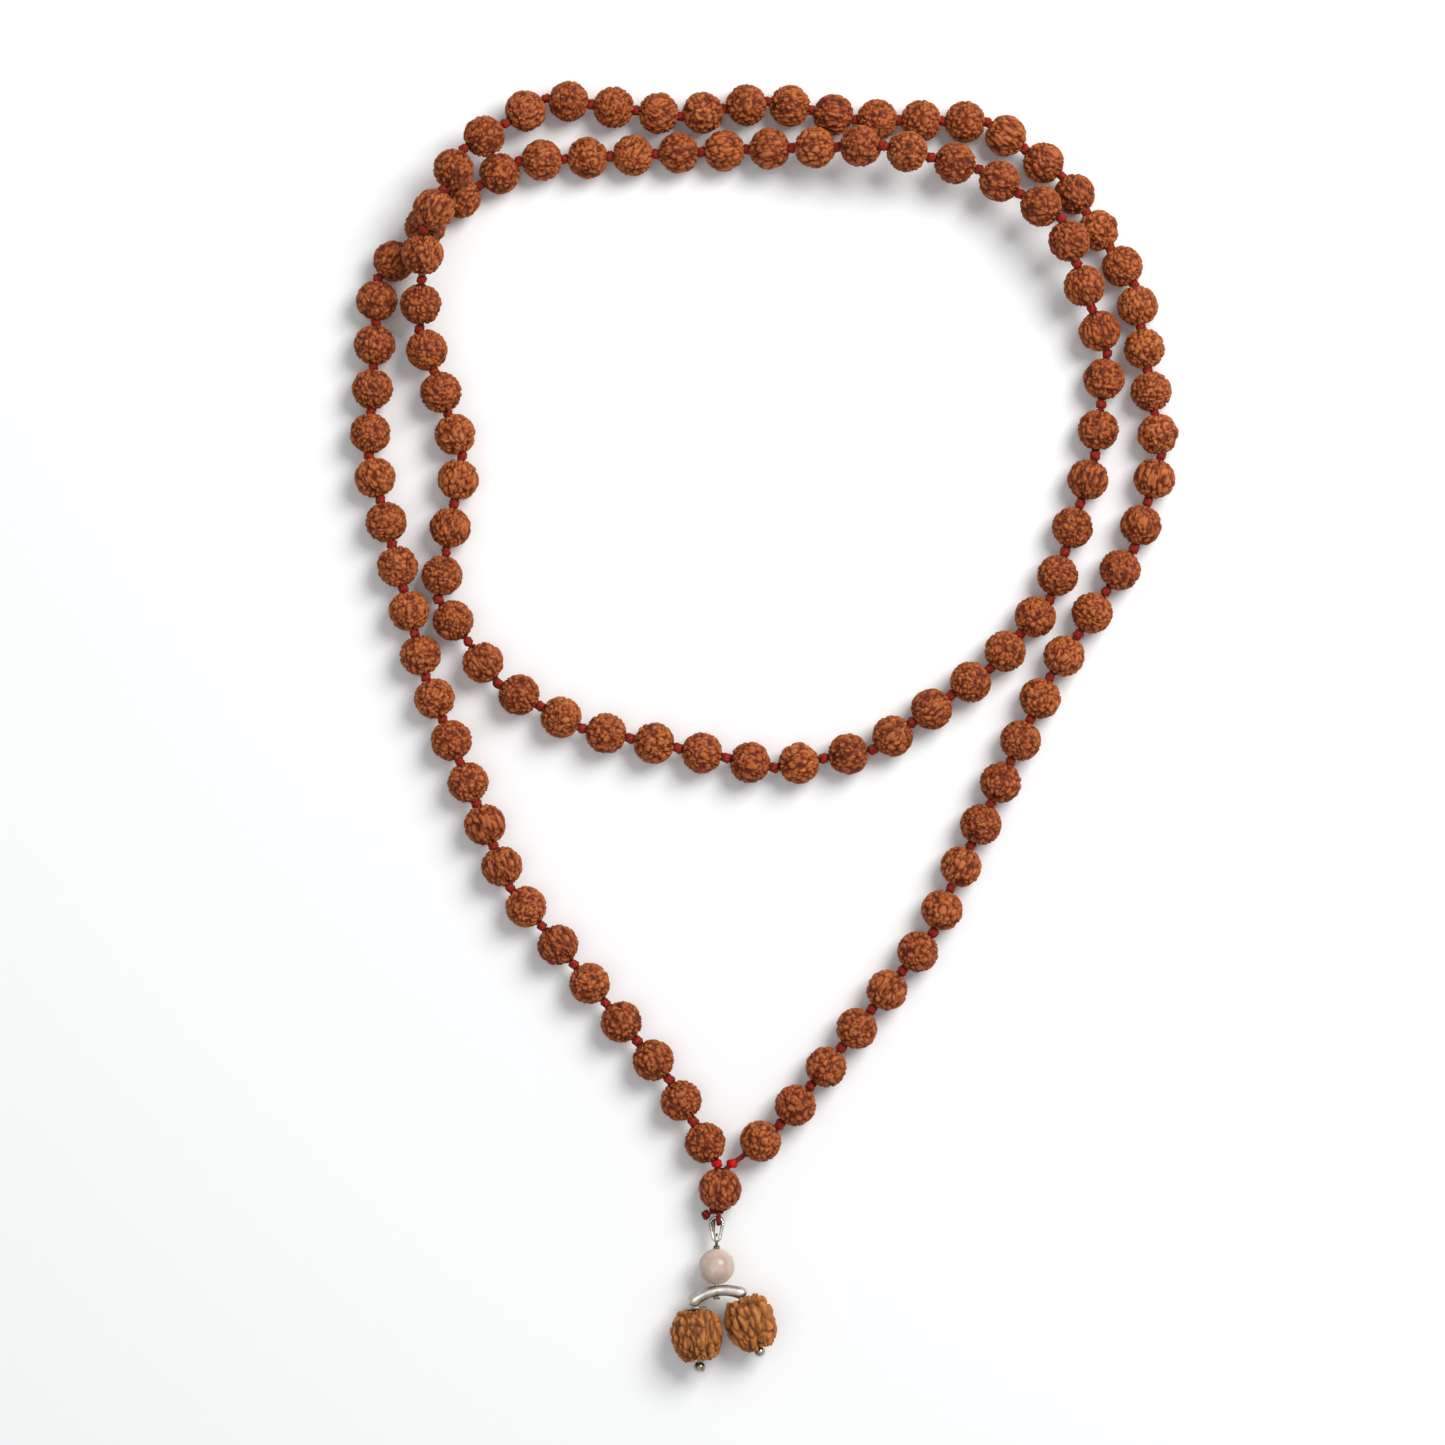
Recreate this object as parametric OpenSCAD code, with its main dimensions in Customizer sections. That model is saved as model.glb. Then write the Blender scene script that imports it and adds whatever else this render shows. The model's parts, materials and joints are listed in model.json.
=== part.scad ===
// Rudraksha mala: 108 knotted beads in a doubled loop, a guru bead and a silver pendant.
// It lies flat on a table, with +Z up and the pendant towards -Y. Millimetres.

/* [Strand] */
// Diameter of a strand bead over its ridges
bead_d = 7; // [6.8:0.05:7]
// Diameter of the hole through a strand bead
bore_d = 1.3; // [1.2:0.05:1.6]
// Diameter of the cord
cord_d = 0.85; // [0.7:0.05:0.95]
// Diameter of the knot between two beads
knot_d = 2; // [1.6:0.05:2.05]
// Mean distance from one knot to the next
knot_pitch = 7.75; // [7.6:0.05:7.9]

/* [Guru bead] */
// Diameter of the guru bead
guru_d = 7.2; // [6.8:0.1:7.2]
// Diameter of its hole, which takes both ends of the cord
guru_bore_d = 2.1; // [1.95:0.05:2.4]

/* [Silver wire] */
// Diameter of the wire of the teardrop bail
bail_wire_d = 0.54; // [0.44:0.02:0.56]
// Diameter of the wire of the pins
pin_wire_d = 0.6; // [0.5:0.05:0.65]
// Diameter of the wire of the small rings and eyes
ring_wire_d = 0.38; // [0.3:0.02:0.4]

/* [Quartz and crescent] */
// Diameter of the quartz bead
quartz_d = 6; // [5.6:0.1:6]
// Thickness of the crescent
crescent_d = 1.8; // [1.7:0.05:1.9]
// Radius of the crescent's centre line
crescent_r = 8.3; // [8:0.1:8.6]
// Angle that the crescent spans
crescent_span = 57; // [52:1:60]
// Sideways lean of the crescent in degrees
crescent_lean = 9; // [7:1:10]

/* [Pendant beads] */
// Diameter of the left pendant bead
left_bead_d = 9; // [8.6:0.05:9]
// Diameter of the right pendant bead
right_bead_d = 8.8; // [8.4:0.05:8.8]
// Diameter of the hole through a pendant bead
pendant_bore_d = 1; // [0.8:0.05:1.2]
// Rise of the pendant from the guru bead to its beads, in degrees
pendant_rise = 7; // [7:0.5:9]

/* [Hidden] */
$fn = 48;

// Route of the cord: it turns only at these knots, and runs straight between them.
// From the knot on the guru bead up the left side, twice round the loop and back.
ROUTE = [
    [-7.5, -73, 3.5], [-15.5, -59, 3.5], [-42, -27, 3.5], [-56, 8, 3.5],
    [-65.5, 45, 3.5], [-64, 74.5, 3.5], [-53.5, 86, 3.5], [-40.5, 94, 3.5],
    [-2.5, 96, 3.5], [20, 96, 9.5], [36, 92.5, 5.5], [49.5, 84, 9.5],
    [57.5, 62, 3.5], [55.5, 45, 3.5], [48, 21, 3.5], [38, 9.5, 3.5],
    [18.5, -4, 3.5], [2, -7, 3.5], [-30, -0.5, 3.5], [-44, 7, 3.5],
    [-54, 21, 3.5], [-50, 45, 3.5], [-57, 66, 4.5], [-56, 82, 10.5],
    [-49.5, 95.5, 9], [-36, 104.5, 3.5], [-13.5, 101.5, 3.5], [1, 104, 3.5],
    [15.5, 101, 3.5], [37.5, 100.5, 3.5], [50, 91.5, 3.5], [62, 73.5, 3.5],
    [66.5, 45, 3.5], [62, 29.5, 3.5], [48, 8, 3.5], [31.5, -27, 3.5],
    [28.5, -34.5, 3.5], [3, -66.5, 3.5], [-3.5, -72, 3.5]
];

// Stretches of the route that fold together: section, first and last route point,
// and whether the section owns the knot at each of the two.
STRETCHES = [
    ["tail_lower", 0, 2, true, false],
    ["tail_upper", 2, 3, true, false],
    ["loop_middle", 3, 4, true, true],
    ["loop_top", 4, 13, false, false],
    ["loop_middle", 13, 21, true, true],
    ["loop_top", 21, 32, false, false],
    ["loop_middle", 32, 34, true, true],
    ["tail_upper", 34, 35, false, true],
    ["tail_lower", 35, 38, false, false]
];
SECTIONS = ["loop_top", "loop_middle", "tail_upper", "tail_lower"];

runs = len(ROUTE) - 1;
cord_r = cord_d / 2;
cord_sides = 8;
bead_gap = 0.3;
knot_seat_d = knot_d + 0.3;
// Where another section owns the knot at a stretch's end, the cord stops this far from its middle
cord_end_gap = knot_d / 2 + 0.1;

// Guru bead, the cord's way through it and the knots on it
GURU = [-7, -77.3, 3.6];
GURU_KNOT = [-5, -73, 3.5];
guru_seat_top = [0, 0, 4.3];
guru_seat_top_d = 3.8;
guru_seat_bottom = [0, 0, -3.9];
guru_seat_bottom_d = 3.1;
cord_offset = 0.45;
LEFT_LEAD = [GURU + [-cord_offset, -3.5, 0], GURU + [-cord_offset, 3, 0]];
RIGHT_LEAD = [GURU + [cord_offset, 3, 0], GURU + [cord_offset, -3.5, 0]];

// Loop of cord that holds the pendant, and the knotted cord end beside it
PIVOT = [-7.6, -82, 3.6];
thread_d = 0.7;
thread_loop_r = 1;
thread_x = 0.35;
tail_knot_d = 1.7;
TAIL_KNOT = [-9.4, -81.5, 3.6];
TAIL_START = [-7.5, -80.6, 3.6];

// Teardrop bail, of two turns of wire one on the other
bail_top_r = 1.05;
bail_inner_r = 0.75;
bail_bottom_r = 0.6;
bail_length = 3.2;
bail_stack = 0.28;
// The wire is this much thicker where two bends of it meet
solder_factor = 1.08;

// Places along the pendant, downwards from the pivot
pin_eye_y = -bail_length - bail_bottom_r;
pin_eye_r = 0.95;
pin_eye_wire_d = 0.5;
quartz_y = pin_eye_y - pin_eye_r - pin_eye_wire_d / 2 - 0.1 - quartz_d / 2;
crescent_y = quartz_y - quartz_d / 2 - 0.15 - crescent_d / 2;
crescent_hole_d = 1;
// How much wider the round ends of the crescent are than the rest of it
crescent_end_extra = 0.06;
pin_head_d = 1.1;
pin_head_h = 0.35;
pin_head_gap = 0.15;

// Rings under the ends of the crescent, and the eyes of the head pins round them
end_ring_r = 0.75;
eye_r = 0.52;
eye_drop = crescent_d / 2 + 0.12 + ring_wire_d / 2;
CRESCENT_CENTRE = [crescent_r * sin(crescent_lean), crescent_y - crescent_r * cos(crescent_lean), 0];
left_end_angle = 90 + crescent_lean + crescent_span / 2;
right_end_angle = 90 + crescent_lean - crescent_span / 2;

// Places along a head pin, downwards from its eye
cap_top = 1.05;
cap_h = 0.25;
cap_taper = 0.6;
face_gap = 0.1;
bead_top = cap_top + cap_h + face_gap;
cup_h = 0.45;
// Narrow end of a cup against its wide end, and depth of the ball's seat against the ball
cup_narrowing = 0.6;
ball_seat = 0.4;
ball_play = 0.1;
pin_play = 0.2;
quartz_play = 0.3;
// Distances from a pendant bead's middle to its flat seats, and its half length before it is cut
left_top_cut = 4.2;
left_bottom_cut = 4.1;
left_half_length = 5.3;
right_top_cut = 3.6;
right_bottom_cut = 3.9;
right_half_length = 5.6;
// How far a bead's lobes stand past the seats
left_top_lobe = 0;
left_bottom_lobe = 0.5;
right_top_lobe = 0.8;
right_bottom_lobe = 1.1;
// Room round a cap or a cup in its seat, and the widening of the seat to its rim
seat_play = 0.15;
seat_flare = 0.35;
left_cap_d = 4.4;
right_cap_d = 3.8;
left_cup_d = 2.7;
right_cup_d = 2.2;
left_lean = 5;
right_lean = 18;
left_ball_d = 1.9;
right_ball_d = 1.7;

function two_digits(i) = str(i < 10 ? "0" : "", i);
function run_name(i) = str("strand_beads_", two_digits(i));

// Run i goes from route point i - 1 to route point i
function run_length(i) = norm(ROUTE[i] - ROUTE[i - 1]);
function bead_count(i) = round(run_length(i) / knot_pitch);
function run_pitch(i) = run_length(i) / bead_count(i);
function run_point(i, k) = ROUTE[i - 1] + (ROUTE[i] - ROUTE[i - 1]) * k / bead_count(i);
function total(list, i = 0) = i == len(list) ? 0 : list[i] + total(list, i + 1);
assert(total([for (i = [1:runs]) bead_count(i)]) == 108);

function unit(v) = v / norm(v);
function point_on_circle(r, angle) = [r * cos(angle), r * sin(angle), 0];

// Sweep of the cord's section along a path, one ring at each point
function path_tangent(path, i) = unit(path[min(i + 1, len(path) - 1)] - path[max(i - 1, 0)]);
function path_ring(path, i) =
    let (along = path_tangent(path, i), side = unit(cross(along, [0, 0, 1])), up = cross(side, along))
    [for (k = [0:cord_sides - 1])
        path[i] + cord_r * (cos(360 * k / cord_sides) * side + sin(360 * k / cord_sides) * up)];

module cord_tube(path) {
    last = len(path) - 1;
    points = [for (i = [0:last]) each path_ring(path, i)];
    walls = [for (i = [0:last - 1], k = [0:cord_sides - 1])
        let (next = (k + 1) % cord_sides, a = i * cord_sides, b = a + cord_sides)
        [a + k, a + next, b + next, b + k]];
    start_cap = [for (k = [cord_sides - 1:-1:0]) k];
    end_cap = [for (k = [0:cord_sides - 1]) last * cord_sides + k];
    polyhedron(points = points, faces = concat(walls, [start_cap, end_cap]));
}

// Turns +Z to point from p to q, and moves the origin to p
module from_to(p, q) {
    d = q - p;
    translate(p) rotate([0, acos(d.z / norm(d)), atan2(d.y, d.x)]) children();
}

module rod(p, q, d) {
    from_to(p, q) cylinder(d = d, h = norm(q - p));
}

module torus(r, d) {
    rotate_extrude() translate([r, 0]) circle(d = d);
}

// A strand bead round the origin with its hole along Z, and a seat for the knot at each end
module strand_bead(pitch) {
    difference() {
        sphere(d = min(bead_d, pitch - bead_gap));
        cylinder(d = bore_d, h = bead_d + 2, center = true);
        for (end = [-1, 1]) translate([0, 0, end * pitch / 2]) sphere(d = knot_seat_d);
    }
}

module strand_beads(i) {
    pitch = run_pitch(i);
    color("sienna") from_to(ROUTE[i - 1], ROUTE[i])
        for (k = [1:bead_count(i)]) translate([0, 0, (k - 0.5) * pitch]) strand_bead(pitch);
}

// Point on the route beside knot i, on the way to knot j
function beside_knot(i, j) = ROUTE[i] + cord_end_gap * unit(ROUTE[j] - ROUTE[i]);

module cord_stretch(section, first, last, owns_first, owns_last) {
    at_guru = section == "tail_lower" && last == runs;
    start = first == 0 ? concat(LEFT_LEAD, [ROUTE[0]])
        : [owns_first ? ROUTE[first] : beside_knot(first, first + 1)];
    end = at_guru ? concat([ROUTE[last], GURU_KNOT], RIGHT_LEAD)
        : [owns_last ? ROUTE[last] : beside_knot(last, last - 1)];
    cord_tube(concat(start, [for (i = [first + 1:1:last - 1]) ROUTE[i]], end));
}

module cord(section) {
    color("firebrick") for (s = STRETCHES) if (s[0] == section) cord_stretch(s[0], s[1], s[2], s[3], s[4]);
}

module knots(section) {
    color("darkred") {
        for (s = STRETCHES) if (s[0] == section) {
            for (i = [s[1] + 1:s[2]], k = [1:1:bead_count(i) - 1]) knot(run_point(i, k));
            for (i = [s[1]:s[2]]) if ((i > s[1] || s[3]) && (i < s[2] || s[4])) knot(ROUTE[i]);
        }
        if (section == "tail_lower") knot(GURU_KNOT);
    }
}

module knot(place) {
    translate(place) sphere(d = knot_d);
}

module guru_bead() {
    color("sienna") translate(GURU) rotate([-90, 0, 0]) difference() {
        sphere(d = guru_d);
        cylinder(d = guru_bore_d, h = guru_d + 2, center = true);
        translate(guru_seat_top) sphere(d = guru_seat_top_d);
        translate(guru_seat_bottom) sphere(d = guru_seat_bottom_d);
    }
}

// The pendant's own frame: it starts at the pivot and rises towards -Y
module pendant_frame() {
    translate(PIVOT) rotate([-pendant_rise, 0, 0]) children();
}

module pendant_thread() {
    color("firebrick") {
        translate(PIVOT + [thread_x, 0, 0]) rotate([0, 90, 0]) torus(thread_loop_r, thread_d);
        rod(TAIL_START, TAIL_KNOT, thread_d);
        translate(TAIL_KNOT) sphere(d = tail_knot_d);
    }
}

// Closed loop of wire with a wide round top at (x, -top_r) and a narrow round bottom
module teardrop_wire(x, top_r, bottom_r, length, wire_d) {
    top = [x, -top_r, 0];
    bottom = [0, -length, 0];
    apart = norm(bottom - top);
    heading = atan2(bottom.y - top.y, bottom.x - top.x);
    spread = acos((top_r - bottom_r) / apart);
    translate(top) rotate([0, 0, heading + spread])
        rotate_extrude(angle = 360 - 2 * spread) translate([top_r, 0]) circle(d = wire_d);
    translate(bottom) rotate([0, 0, heading - spread])
        rotate_extrude(angle = 2 * spread) translate([bottom_r, 0]) circle(d = wire_d);
    for (side = [-1, 1]) {
        p = top + point_on_circle(top_r, heading + side * spread);
        q = bottom + point_on_circle(bottom_r, heading + side * spread);
        rod(p, q, wire_d);
        for (joint = [p, q]) translate(joint) sphere(d = solder_factor * wire_d);
    }
}

module bail() {
    color("silver") pendant_frame() {
        translate([0, 0, bail_stack])
            teardrop_wire(0, bail_top_r, bail_bottom_r, bail_length, bail_wire_d);
        translate([0, 0, -bail_stack])
            teardrop_wire(bail_top_r - bail_inner_r, bail_inner_r, bail_bottom_r, bail_length, bail_wire_d);
    }
}

module quartz_pin() {
    pin_end = crescent_y - crescent_d / 2 - pin_head_gap;
    color("silver") pendant_frame() {
        translate([0, pin_eye_y, 0]) rotate([0, 90, 0]) torus(pin_eye_r, pin_eye_wire_d);
        rod([0, pin_eye_y - pin_eye_r, 0], [0, pin_end, 0], pin_wire_d);
        rod([0, pin_end, 0], [0, pin_end - pin_head_h, 0], pin_head_d);
    }
}

module quartz_bead() {
    color("mistyrose") pendant_frame() translate([0, quartz_y, 0]) rotate([90, 0, 0]) difference() {
        sphere(d = quartz_d);
        cylinder(d = pin_wire_d + quartz_play, h = quartz_d + 2, center = true);
    }
}

module crescent_end(angle) {
    translate(point_on_circle(crescent_r, angle)) sphere(d = crescent_d + crescent_end_extra);
}

module crescent_ring(angle, inwards) {
    translate(point_on_circle(crescent_r, angle) - [0, 0, eye_drop]) rotate([0, 0, angle])
        translate([0, inwards * end_ring_r, 0]) rotate([0, 90, 0]) torus(end_ring_r, ring_wire_d);
}

module crescent_hanger() {
    color("silver") pendant_frame() difference() {
        translate(CRESCENT_CENTRE) {
            rotate([0, 0, right_end_angle]) rotate_extrude(angle = crescent_span)
                translate([crescent_r, 0]) circle(d = crescent_d);
            crescent_end(left_end_angle);
            crescent_end(right_end_angle);
            crescent_ring(left_end_angle, -1);
            crescent_ring(right_end_angle, 1);
        }
        translate([0, crescent_y, 0]) rotate([90, 0, 0])
            cylinder(d = crescent_hole_d, h = 2 * crescent_d, center = true);
    }
}

// The frame of a head pin: its eye at the origin and the pin along -Y
module dangle_frame(end_angle, lean) {
    eye = CRESCENT_CENTRE + point_on_circle(crescent_r, end_angle) - [0, 0, eye_drop];
    pendant_frame() translate(eye) rotate([0, 0, lean]) children();
}

module left_frame() {
    dangle_frame(left_end_angle, left_lean) children();
}

module right_frame() {
    dangle_frame(right_end_angle, right_lean) children();
}

module head_pin(bead_bottom, ball_d) {
    ball_y = -bead_bottom - face_gap - cup_h - ball_seat * ball_d;
    torus(eye_r, ring_wire_d);
    rod([0, -eye_r, 0], [0, ball_y, 0], pin_wire_d);
    translate([0, ball_y, 0]) sphere(d = ball_d);
}

module top_cap(d) {
    translate([0, -cap_top - cap_h, 0]) rotate([-90, 0, 0]) difference() {
        cylinder(d1 = d, d2 = d - cap_taper, h = cap_h);
        translate([0, 0, -1]) cylinder(d = pin_wire_d + pin_play, h = 2);
    }
}

module bottom_cup(bead_bottom, d, ball_d) {
    translate([0, -bead_bottom - face_gap, 0]) rotate([90, 0, 0]) difference() {
        cylinder(d1 = d, d2 = cup_narrowing * d, h = cup_h);
        translate([0, 0, -1]) cylinder(d = pin_wire_d + pin_play, h = 2);
        translate([0, 0, cup_h + ball_seat * ball_d]) sphere(d = ball_d + ball_play);
    }
}

// Half of a seat's outline, from the axis to its rim. A cut holds the seat's height, the lobe past it
// and the diameter of what sits in it.
function seat(cut, side) =
    let (r = cut[2] / 2 + seat_play)
    cut[1] == 0 ? [[0, side * cut[0]]]
    : [[0, side * cut[0]], [r, side * cut[0]], [r + seat_flare, side * (cut[0] + cut[1])]];

// Solid of revolution along Y: an oval with a seat in each end and a hole through it
module pendant_bead(d, half_length, top, bottom) {
    steps = 24;
    low = bottom[0] + bottom[1];
    high = top[0] + top[1];
    oval = [for (k = [0:steps])
        let (y = -low + (high + low) * (1 - cos(180 * k / steps)) / 2)
        [d / 2 * sqrt(1 - pow(y / half_length, 2)), y]];
    top_seat = seat(top, 1);
    translate([0, -bead_top - top[0], 0]) rotate([-90, 0, 0]) difference() {
        rotate_extrude()
            polygon(concat(seat(bottom, -1), oval, [for (i = [len(top_seat) - 1:-1:0]) top_seat[i]]));
        cylinder(d = pendant_bore_d, h = 3 * half_length, center = true);
    }
}

left_bead_bottom = bead_top + left_top_cut + left_bottom_cut;
right_bead_bottom = bead_top + right_top_cut + right_bottom_cut;

module left_head_pin() {
    color("silver") left_frame() head_pin(left_bead_bottom, left_ball_d);
}

module left_top_cap() {
    color("silver") left_frame() top_cap(left_cap_d);
}

module left_pendant_bead() {
    color("peru") left_frame()
        pendant_bead(left_bead_d, left_half_length, [left_top_cut, left_top_lobe, left_cap_d],
            [left_bottom_cut, left_bottom_lobe, left_cup_d]);
}

module left_bottom_cup() {
    color("silver") left_frame() bottom_cup(left_bead_bottom, left_cup_d, left_ball_d);
}

module right_head_pin() {
    color("silver") right_frame() head_pin(right_bead_bottom, right_ball_d);
}

module right_top_cap() {
    color("silver") right_frame() top_cap(right_cap_d);
}

module right_pendant_bead() {
    color("peru") right_frame()
        pendant_bead(right_bead_d, right_half_length, [right_top_cut, right_top_lobe, right_cap_d],
            [right_bottom_cut, right_bottom_lobe, right_cup_d]);
}

module right_bottom_cup() {
    color("silver") right_frame() bottom_cup(right_bead_bottom, right_cup_d, right_ball_d);
}

for (i = [1:runs]) strand_beads(i);
for (s = SECTIONS) cord(s);
for (s = SECTIONS) knots(s);
guru_bead();
pendant_thread();
bail();
quartz_pin();
quartz_bead();
crescent_hanger();
left_head_pin();
left_top_cap();
left_pendant_bead();
left_bottom_cup();
right_head_pin();
right_top_cap();
right_pendant_bead();
right_bottom_cup();
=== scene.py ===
"""Knotted mala of seed beads with a silver pendant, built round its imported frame."""

import json
import math
import random

import bmesh
import bpy
import numpy as np
from mathutils import Matrix, Vector, noise


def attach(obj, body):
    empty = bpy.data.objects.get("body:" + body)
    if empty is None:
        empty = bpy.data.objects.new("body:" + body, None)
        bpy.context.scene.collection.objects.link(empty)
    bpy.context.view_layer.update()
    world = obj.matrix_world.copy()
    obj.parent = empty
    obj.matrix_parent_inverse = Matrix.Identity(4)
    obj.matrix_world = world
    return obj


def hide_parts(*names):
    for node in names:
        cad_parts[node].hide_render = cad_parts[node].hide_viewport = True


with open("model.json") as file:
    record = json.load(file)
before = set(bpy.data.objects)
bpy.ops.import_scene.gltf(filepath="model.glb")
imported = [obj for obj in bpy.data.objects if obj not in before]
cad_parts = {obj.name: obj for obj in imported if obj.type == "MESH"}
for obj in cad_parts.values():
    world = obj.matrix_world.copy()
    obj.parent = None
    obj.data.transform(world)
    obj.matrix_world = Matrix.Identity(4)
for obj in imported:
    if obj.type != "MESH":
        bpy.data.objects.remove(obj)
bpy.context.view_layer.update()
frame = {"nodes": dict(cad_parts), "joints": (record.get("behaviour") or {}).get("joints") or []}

bl_info = {
    "name": "Knotted mala",
    "version": (1, 0, 0),
    "blender": (4, 5, 0),
    "location": "View3D > Sidebar > Mala",
    "description": "Builds a knotted mala with a silver pendant, piece by piece",
    "category": "Add Mesh",
}

MM = 0.001
UP = Vector((0, 0, 1))
Y_AXIS = Vector((0, 1, 0))
MERGE_DISTANCE = 1e-7
WARP_SEED = 1
BODY_MIDDLE = 3.5 * MM  # height of the strand's middle over the table

# Route of the cord in metres: it turns at these knots and runs straight between them
ROUTE = [
    Vector(point) * MM
    for point in (
        (-7.5, -73, 3.5), (-15.5, -59, 3.5), (-42, -27, 3.5), (-56, 8, 3.5),
        (-65.5, 45, 3.5), (-64, 74.5, 3.5), (-53.5, 86, 3.5), (-40.5, 94, 3.5),
        (-2.5, 96, 3.5), (20, 96, 9.5), (36, 92.5, 5.5), (49.5, 84, 9.5),
        (57.5, 62, 3.5), (55.5, 45, 3.5), (48, 21, 3.5), (38, 9.5, 3.5),
        (18.5, -4, 3.5), (2, -7, 3.5), (-30, -0.5, 3.5), (-44, 7, 3.5),
        (-54, 21, 3.5), (-50, 45, 3.5), (-57, 66, 4.5), (-56, 82, 10.5),
        (-49.5, 95.5, 9), (-36, 104.5, 3.5), (-13.5, 101.5, 3.5), (1, 104, 3.5),
        (15.5, 101, 3.5), (37.5, 100.5, 3.5), (50, 91.5, 3.5), (62, 73.5, 3.5),
        (66.5, 45, 3.5), (62, 29.5, 3.5), (48, 8, 3.5), (31.5, -27, 3.5),
        (28.5, -34.5, 3.5), (3, -66.5, 3.5), (-3.5, -72, 3.5),
    )
]
RUNS = len(ROUTE) - 1
# Section of the strand, first and last route point, and whether it owns the knot at each
STRETCHES = (
    ("tail_lower", 0, 2, True, False),
    ("tail_upper", 2, 3, True, False),
    ("loop_middle", 3, 4, True, True),
    ("loop_top", 4, 13, False, False),
    ("loop_middle", 13, 21, True, True),
    ("loop_top", 21, 32, False, False),
    ("loop_middle", 32, 34, True, True),
    ("tail_upper", 34, 35, False, True),
    ("tail_lower", 35, 38, False, False),
)
SECTIONS = ("loop_top", "loop_middle", "tail_upper", "tail_lower")
# The guru bead, the two cords through it, and the ring that the pendant swings on
GURU = Vector((-7, -77.3, 3.6)) * MM
GURU_KNOT = Vector((-5, -73, 3.5)) * MM
GURU_BORE = 2.1 * MM
CORD_OFFSET = Vector((0.45, 0, 0)) * MM
LEAD_TOP = Vector((0, 3, 0)) * MM
LEAD_BOTTOM = Vector((0, -3.5, 0)) * MM
PIVOT = Vector((-7.6, -82, 3.6)) * MM
PENDANT_TILT = math.radians(-7)
PENDANT_FRAME = Matrix.Translation(PIVOT) @ Matrix.Rotation(PENDANT_TILT, 4, "X")
PENDANT_SHUFFLE = 5
# Half length of each pendant seed and its ends, in millimetres, with its number of ridges;
# an end is the height of its seat, the depth of the lobes round it, and the width of its cap
PENDANT_SEEDS = {
    "left": {"half_length": 5.3, "top": (4.2, 0, 4.4), "bottom": (4.1, 0.5, 2.7), "ridges": 13},
    "right": {"half_length": 5.6, "top": (3.6, 0.8, 3.8), "bottom": (3.9, 1.1, 2.2), "ridges": 11},
}
# The crescent's bar, in the pendant's own frame, in millimetres and degrees
CRESCENT_DIAMETER, CRESCENT_RADIUS, CRESCENT_TOP = 1.9, 8.3, -12.15
CRESCENT_SPAN, CRESCENT_LEAN = 57, 9
# Colours and noise scales (cells per metre) of the finishes
SATIN_TARNISH = (0.5, 0.46, 0.4)
GOLDEN_GLANCE = (0.3, 0.27, 0.18)
DARK_MOTTLE, LIGHT_MOTTLE = (0.72, 0.66, 0.62), (1.15, 1.1, 1.05)
SKY_COLOUR, SKY_STRENGTH = (0.92, 0.95, 1), 0.4
MOTTLE_SCALE, PORE_SCALE, FIBRE_SCALE = 900, 3500, 2600
POLISH_SCALE, SATIN_SCALE, WEAR_SCALE = 1500, 2600, 420
CLOUD_SCALE, RIPPLE_SCALE = 380, 260
# Inputs of a Mix node that take its factor and colours, and its colour output
MIX_INPUTS, MIX_OUTPUT = (0, 6, 7), 2


class StrandSettings(bpy.types.PropertyGroup):
    bead_diameter: bpy.props.FloatProperty(
        name="Bead diameter", description="Diameter of a strand bead over its ridges",
        default=7 * MM, unit="LENGTH")
    bead_gap: bpy.props.FloatProperty(
        name="Bead gap", description="Least room between two beads for the knot",
        default=0.3 * MM, unit="LENGTH")
    knot_pitch: bpy.props.FloatProperty(
        name="Knot pitch", description="Mean distance from one knot to the next",
        default=7.75 * MM, unit="LENGTH")
    guru_diameter: bpy.props.FloatProperty(
        name="Guru bead diameter", description="Diameter of the guru bead",
        default=7.2 * MM, unit="LENGTH")
    bore_share: bpy.props.FloatProperty(
        name="Bore share", description="Hole of a bead as a share of its diameter",
        default=0.186, subtype="FACTOR")
    cord_diameter: bpy.props.FloatProperty(
        name="Cord diameter", description="Diameter of the cord",
        default=0.85 * MM, unit="LENGTH")
    knot_diameter: bpy.props.FloatProperty(
        name="Knot diameter", description="Diameter of the knot between two beads",
        default=2 * MM, unit="LENGTH")
    seed_looks: bpy.props.IntProperty(
        name="Seed shapes", description="Number of different seed surfaces", default=14)
    shuffle: bpy.props.IntProperty(
        name="Shuffle", description="Start of the random draws", default=27)
    crown_colour: bpy.props.FloatVectorProperty(
        name="Crown colour", description="Colour on the crowns of a reddish seed",
        subtype="COLOR", default=(0.4, 0.105, 0.026))
    # The flank and cleft colours are painted shade: a seed darkens down into its clefts, and its
    # own colour is the crown colour.
    flank_shade_colour: bpy.props.FloatVectorProperty(
        name="Flank colour", description="Colour half way down the clefts",
        subtype="COLOR", default=(0.17, 0.03, 0.006))
    cleft_shade_colour: bpy.props.FloatVectorProperty(
        name="Cleft colour", description="Colour at the bottom of the clefts",
        subtype="COLOR", default=(0.04, 0.005, 0.0015))
    tan_colour: bpy.props.FloatVectorProperty(
        name="Tan colour", description="Colour on the crowns of a light seed",
        subtype="COLOR", default=(0.5, 0.165, 0.045))
    cord_colour: bpy.props.FloatVectorProperty(
        name="Cord colour", description="Colour of the cord and its knots",
        subtype="COLOR", default=(0.27, 0.017, 0.006))
    bright_colour: bpy.props.FloatVectorProperty(
        name="Bright cord colour", description="Colour of the two knots on the guru bead",
        subtype="COLOR", default=(0.66, 0.008, 0.008))


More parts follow.
